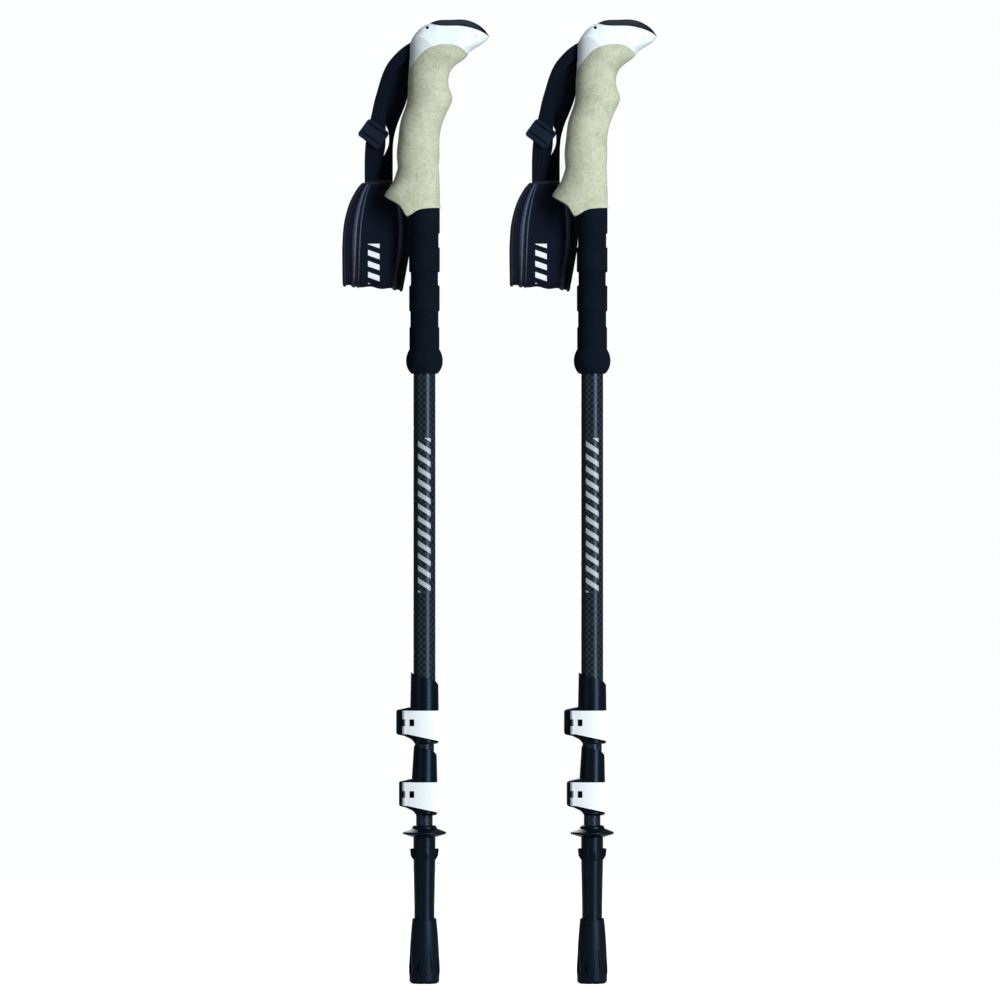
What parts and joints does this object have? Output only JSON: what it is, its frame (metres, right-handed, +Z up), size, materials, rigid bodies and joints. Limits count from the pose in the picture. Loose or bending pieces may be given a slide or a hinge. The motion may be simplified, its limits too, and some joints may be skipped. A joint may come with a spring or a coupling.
{
  "type": "pair of trekking poles",
  "caption": "Telescoping trekking poles with cork and foam grips, padded wrist loops, lever clamps and rubber-booted tips.",
  "frame": {"origin": "middle of the pair's bounding box, on the ground under the boots", "axes": "+Z up the poles, +X from the left pole to the right one, -Y towards the clamp levers' front"},
  "size_m": [0.2274, 0.0422, 0.7001],
  "materials": {
    "boot_rubber": "moulded rubber, matt",
    "tip_plastic": "moulded nylon, satin",
    "hard_metal": "ground hard metal",
    "carbon_tube": "clear-coated carbon weave",
    "bush_plastic": "moulded plastic, matt",
    "clamp_plastic": "moulded nylon, satin",
    "steel": "turned steel",
    "lever_plastic": "moulded plastic, glossy white",
    "eva_foam": "closed-cell EVA foam, matt",
    "cork": "pressed cork granules",
    "head_plastic": "moulded plastic, glossy white",
    "soft_rubber": "soft-touch rubber",
    "webbing": "woven polyester webbing",
    "buckle_plastic": "moulded acetal, satin",
    "padded_fabric": "padded knit fabric with satin piping"
  },
  "bodies": {
    "left_boot": {"left_rubber_boot": "boot_rubber"},
    "left_lower": {"left_tip_ferrule": "tip_plastic", "left_carbide_tip": "hard_metal", "left_lower_tube": "carbon_tube", "left_lower_bush": "bush_plastic"},
    "left_middle": {"left_middle_tube": "carbon_tube", "left_middle_bush": "bush_plastic", "left_lower_clamp_body": "clamp_plastic", "left_lower_clamp_bolt": "steel", "left_lower_clamp_pin": "steel"},
    "left_upper": {"left_upper_tube": "carbon_tube", "left_upper_clamp_body": "clamp_plastic", "left_upper_clamp_bolt": "steel", "left_upper_clamp_pin": "steel", "left_foam_grip": "eva_foam", "left_cork_grip": "cork", "left_grip_core": "bush_plastic", "left_head_shell": "head_plastic", "left_palm_pad": "soft_rubber", "left_strap_pin": "steel", "left_strap_wedge": "bush_plastic", "left_strap_anchor": "webbing"},
    "left_lower_lever": {"left_lower_clamp_lever": "lever_plastic"},
    "left_lower_nut": {"left_lower_clamp_nut": "steel"},
    "left_upper_lever": {"left_upper_clamp_lever": "lever_plastic"},
    "left_upper_nut": {"left_upper_clamp_nut": "steel"},
    "left_strap": {"left_strap_webbing": "webbing", "left_strap_slider": "buckle_plastic", "left_wrist_pad": "padded_fabric"},
    "right_boot": {"right_rubber_boot": "boot_rubber"},
    "right_lower": {"right_tip_ferrule": "tip_plastic", "right_carbide_tip": "hard_metal", "right_lower_tube": "carbon_tube", "right_lower_bush": "bush_plastic"},
    "right_middle": {"right_middle_tube": "carbon_tube", "right_middle_bush": "bush_plastic", "right_lower_clamp_body": "clamp_plastic", "right_lower_clamp_bolt": "steel", "right_lower_clamp_pin": "steel"},
    "right_upper": {"right_upper_tube": "carbon_tube", "right_upper_clamp_body": "clamp_plastic", "right_upper_clamp_bolt": "steel", "right_upper_clamp_pin": "steel", "right_foam_grip": "eva_foam", "right_cork_grip": "cork", "right_grip_core": "bush_plastic", "right_head_shell": "head_plastic", "right_palm_pad": "soft_rubber", "right_strap_pin": "steel", "right_strap_wedge": "bush_plastic", "right_strap_anchor": "webbing"},
    "right_lower_lever": {"right_lower_clamp_lever": "lever_plastic"},
    "right_lower_nut": {"right_lower_clamp_nut": "steel"},
    "right_upper_lever": {"right_upper_clamp_lever": "lever_plastic"},
    "right_upper_nut": {"right_upper_clamp_nut": "steel"},
    "right_strap": {"right_strap_webbing": "webbing", "right_strap_slider": "buckle_plastic", "right_wrist_pad": "padded_fabric"}
  },
  "joints": [
    {"name": "left_boot_pull", "type": "slide", "parent": "left_boot", "child": "left_lower", "axis": [0, 0, 1], "range_m": [0, 0.06]},
    {"name": "left_lower_slide", "type": "slide", "parent": "left_lower", "child": "left_middle", "axis": [0, 0, 1], "range_m": [0, 0.32]},
    {"name": "left_upper_slide", "type": "slide", "parent": "left_middle", "child": "left_upper", "axis": [0, 0, 1], "range_m": [0, 0.33]},
    {"name": "left_lower_lever_turn", "type": "hinge", "parent": "left_middle", "child": "left_lower_lever", "pos_m": [-0.0682, -0.0166, 0.1378], "axis": [0, 0, -1], "range_deg": [0, 115]},
    {"name": "left_lower_nut_turn", "type": "hinge", "parent": "left_middle", "child": "left_lower_nut", "pos_m": [-0.0682, 0.0043, 0.1378], "axis": [0, 1, 0], "range_deg": [-180, 180]},
    {"name": "left_upper_lever_turn", "type": "hinge", "parent": "left_upper", "child": "left_upper_lever", "pos_m": [-0.0682, -0.0166, 0.1897], "axis": [0, 0, -1], "range_deg": [0, 115]},
    {"name": "left_upper_nut_turn", "type": "hinge", "parent": "left_upper", "child": "left_upper_nut", "pos_m": [-0.0682, 0.0043, 0.1897], "axis": [0, 1, 0], "range_deg": [-180, 180]},
    {"name": "left_strap_swing", "type": "hinge", "parent": "left_upper", "child": "left_strap", "pos_m": [-0.0668, -0.0053, 0.683], "axis": [1, 0, 0], "range_deg": [0, 80]},
    {"name": "right_pole_lift", "type": "slide", "parent": "left_boot", "child": "right_boot", "axis": [0, 0, 1], "range_m": [0, 0.3]},
    {"name": "right_boot_pull", "type": "slide", "parent": "right_boot", "child": "right_lower", "axis": [0, 0, 1], "range_m": [0, 0.06]},
    {"name": "right_lower_slide", "type": "slide", "parent": "right_lower", "child": "right_middle", "axis": [0, 0, 1], "range_m": [0, 0.32]},
    {"name": "right_upper_slide", "type": "slide", "parent": "right_middle", "child": "right_upper", "axis": [0, 0, 1], "range_m": [0, 0.33]},
    {"name": "right_lower_lever_turn", "type": "hinge", "parent": "right_middle", "child": "right_lower_lever", "pos_m": [0.0536, -0.0166, 0.1378], "axis": [0, 0, -1], "range_deg": [0, 115]},
    {"name": "right_lower_nut_turn", "type": "hinge", "parent": "right_middle", "child": "right_lower_nut", "pos_m": [0.0536, 0.0043, 0.1378], "axis": [0, 1, 0], "range_deg": [-180, 180]},
    {"name": "right_upper_lever_turn", "type": "hinge", "parent": "right_upper", "child": "right_upper_lever", "pos_m": [0.0536, -0.0166, 0.1897], "axis": [0, 0, -1], "range_deg": [0, 115]},
    {"name": "right_upper_nut_turn", "type": "hinge", "parent": "right_upper", "child": "right_upper_nut", "pos_m": [0.0536, 0.0043, 0.1897], "axis": [0, 1, 0], "range_deg": [-180, 180]},
    {"name": "right_strap_swing", "type": "hinge", "parent": "right_upper", "child": "right_strap", "pos_m": [0.055, -0.0053, 0.683], "axis": [1, 0, 0], "range_deg": [0, 80]}
  ]
}
